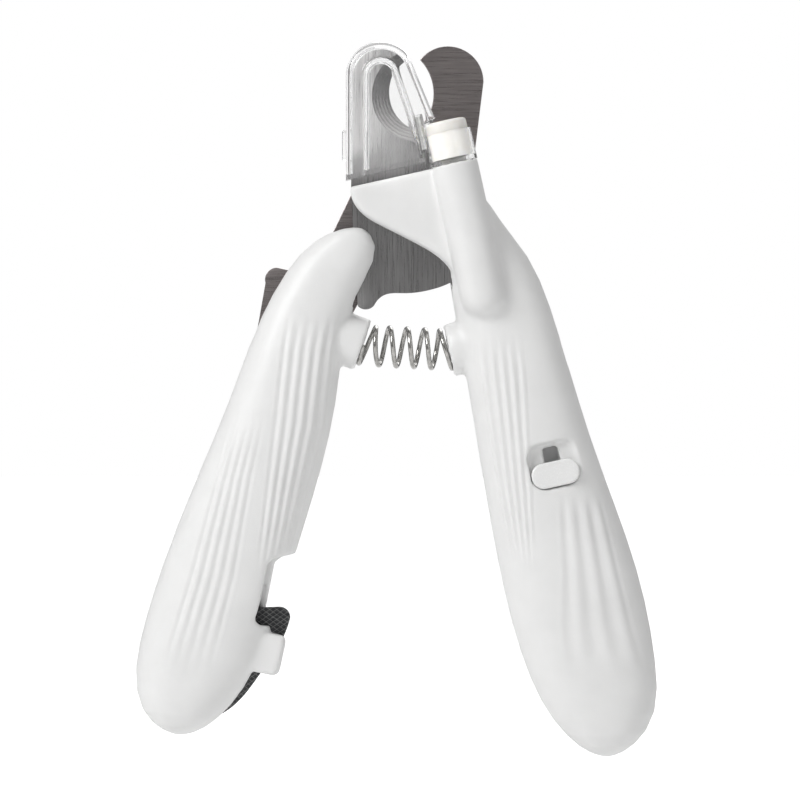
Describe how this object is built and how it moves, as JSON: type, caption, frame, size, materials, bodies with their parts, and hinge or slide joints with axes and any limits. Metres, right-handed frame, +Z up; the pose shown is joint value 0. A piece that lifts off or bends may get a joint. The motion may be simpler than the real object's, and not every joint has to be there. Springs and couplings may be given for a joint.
{
  "type": "pet nail trimmer",
  "caption": "Spring-loaded hook-blade nail trimmer for pets, with hollow white handles, a lamp beside the blades, a hinged clear nail catcher and a fold-out file.",
  "frame": {"origin": "the middle of the whole object's box at its lowest level, the handles' feet", "axes": "+X to the right, -Y towards the front with the lamp and switch, +Z up from the handles to the blades' tips"},
  "size_m": [0.1094, 0.0206, 0.1497],
  "materials": {
    "white_shell": "satin moulded ABS",
    "white_knob": "smooth moulded ABS",
    "blade_steel": "fine brushed stainless steel",
    "file_steel": "dark diamond-cut steel",
    "bright_steel": "nickel plated",
    "spring_wire": "drawn spring wire",
    "cell_steel": "nickel plated can",
    "clear_plastic": "clear polycarbonate",
    "frosted_lens": "frosted diffuser",
    "lamp_epoxy": "clear epoxy",
    "board": "solder mask",
    "wire_insulation": "PVC",
    "switch_black": "moulded",
    "inner_plastic": "moulded ABS"
  },
  "bodies": {
    "right_handle": {"right_front_shell": "white_shell", "right_rear_shell": "white_shell", "front_blade": "blade_steel", "pivot_screw": "bright_steel", "pivot_washer": "bright_steel", "pivot_nut": "bright_steel", "lamp_sleeve": "clear_plastic", "lamp_lens": "frosted_lens", "lamp_led": "lamp_epoxy", "lamp_board": "board", "lamp_wires": "wire_insulation", "switch_body": "switch_black", "battery_cells": "cell_steel", "battery_contacts": "bright_steel", "battery_tray": "inner_plastic", "battery_door": "white_shell", "battery_door_screw": "bright_steel", "catcher_hinge_pin": "bright_steel", "return_spring": "spring_wire", "right_shell_screws": "bright_steel", "front_blade_screws": "bright_steel"},
    "switch_knob": {"switch_knob": "white_knob"},
    "nail_catcher": {"nail_catcher": "clear_plastic"},
    "left_handle": {"left_front_shell": "white_shell", "left_rear_shell": "white_shell", "rear_blade": "blade_steel", "file_pin": "bright_steel", "left_shell_screws": "bright_steel", "rear_blade_screws": "bright_steel"},
    "nail_file": {"nail_file": "file_steel"}
  },
  "joints": [
    {"name": "blade_pivot", "type": "hinge", "parent": "right_handle", "child": "left_handle", "pos_m": [0.00387, 0.00168, 0.11671], "axis": [0, -1, 0], "range_deg": [0, 29], "stiffness_Nm_per_rad": 0.35, "springref_deg": -34.38, "deforming": ["return_spring"]},
    {"name": "switch_slide", "type": "slide", "parent": "right_handle", "child": "switch_knob", "axis": [-0.2164, 0, 0.9763], "range_m": [0, 0.0035]},
    {"name": "catcher_hinge", "type": "hinge", "parent": "right_handle", "child": "nail_catcher", "pos_m": [0.00485, -0.00653, 0.13126], "axis": [-0.2164, 0, 0.9763], "range_deg": [0, 90]},
    {"name": "file_swing", "type": "hinge", "parent": "left_handle", "child": "nail_file", "pos_m": [-0.04342, 0.00168, 0.01171], "axis": [0, 1, 0], "range_deg": [0, 135]}
  ]
}
